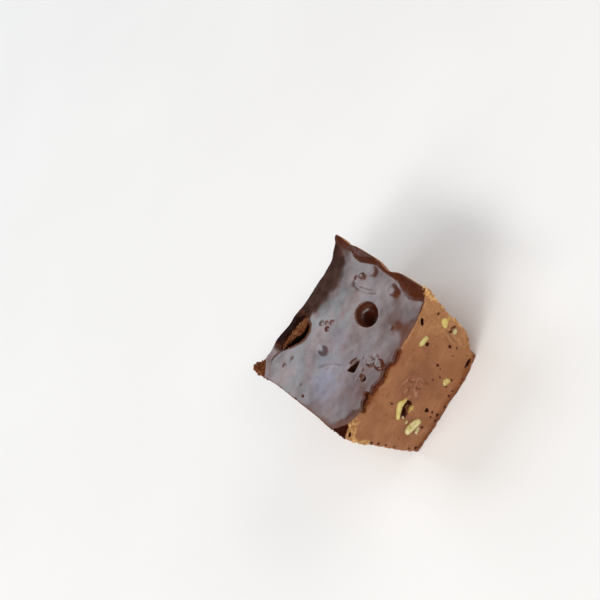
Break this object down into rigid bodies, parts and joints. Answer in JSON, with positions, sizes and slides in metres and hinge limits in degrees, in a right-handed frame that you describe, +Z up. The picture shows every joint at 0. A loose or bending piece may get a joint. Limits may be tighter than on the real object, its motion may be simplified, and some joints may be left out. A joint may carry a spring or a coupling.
{
  "type": "chocolate walnut fudge square",
  "caption": "Cut square of chocolate fudge with a glossy blistered skin on top, an upturned far rim, and walnut bits showing flush in its cut sides.",
  "frame": {"origin": "centre of the bounding box at the flat base", "axes": "+Z up through the glossy skin, -Y out of the cut side with the most walnut, +X toward the end with the upturned rim"},
  "size_m": [0.0388, 0.042, 0.0233],
  "materials": {
    "fudge": "milk chocolate fudge: satin cut sides, dark glossy skin on top",
    "walnut": "pale yellow walnut flesh, matte, with a thin brown skin"
  },
  "bodies": {
    "root": {"fudge": "fudge"}
  },
  "joints": []
}
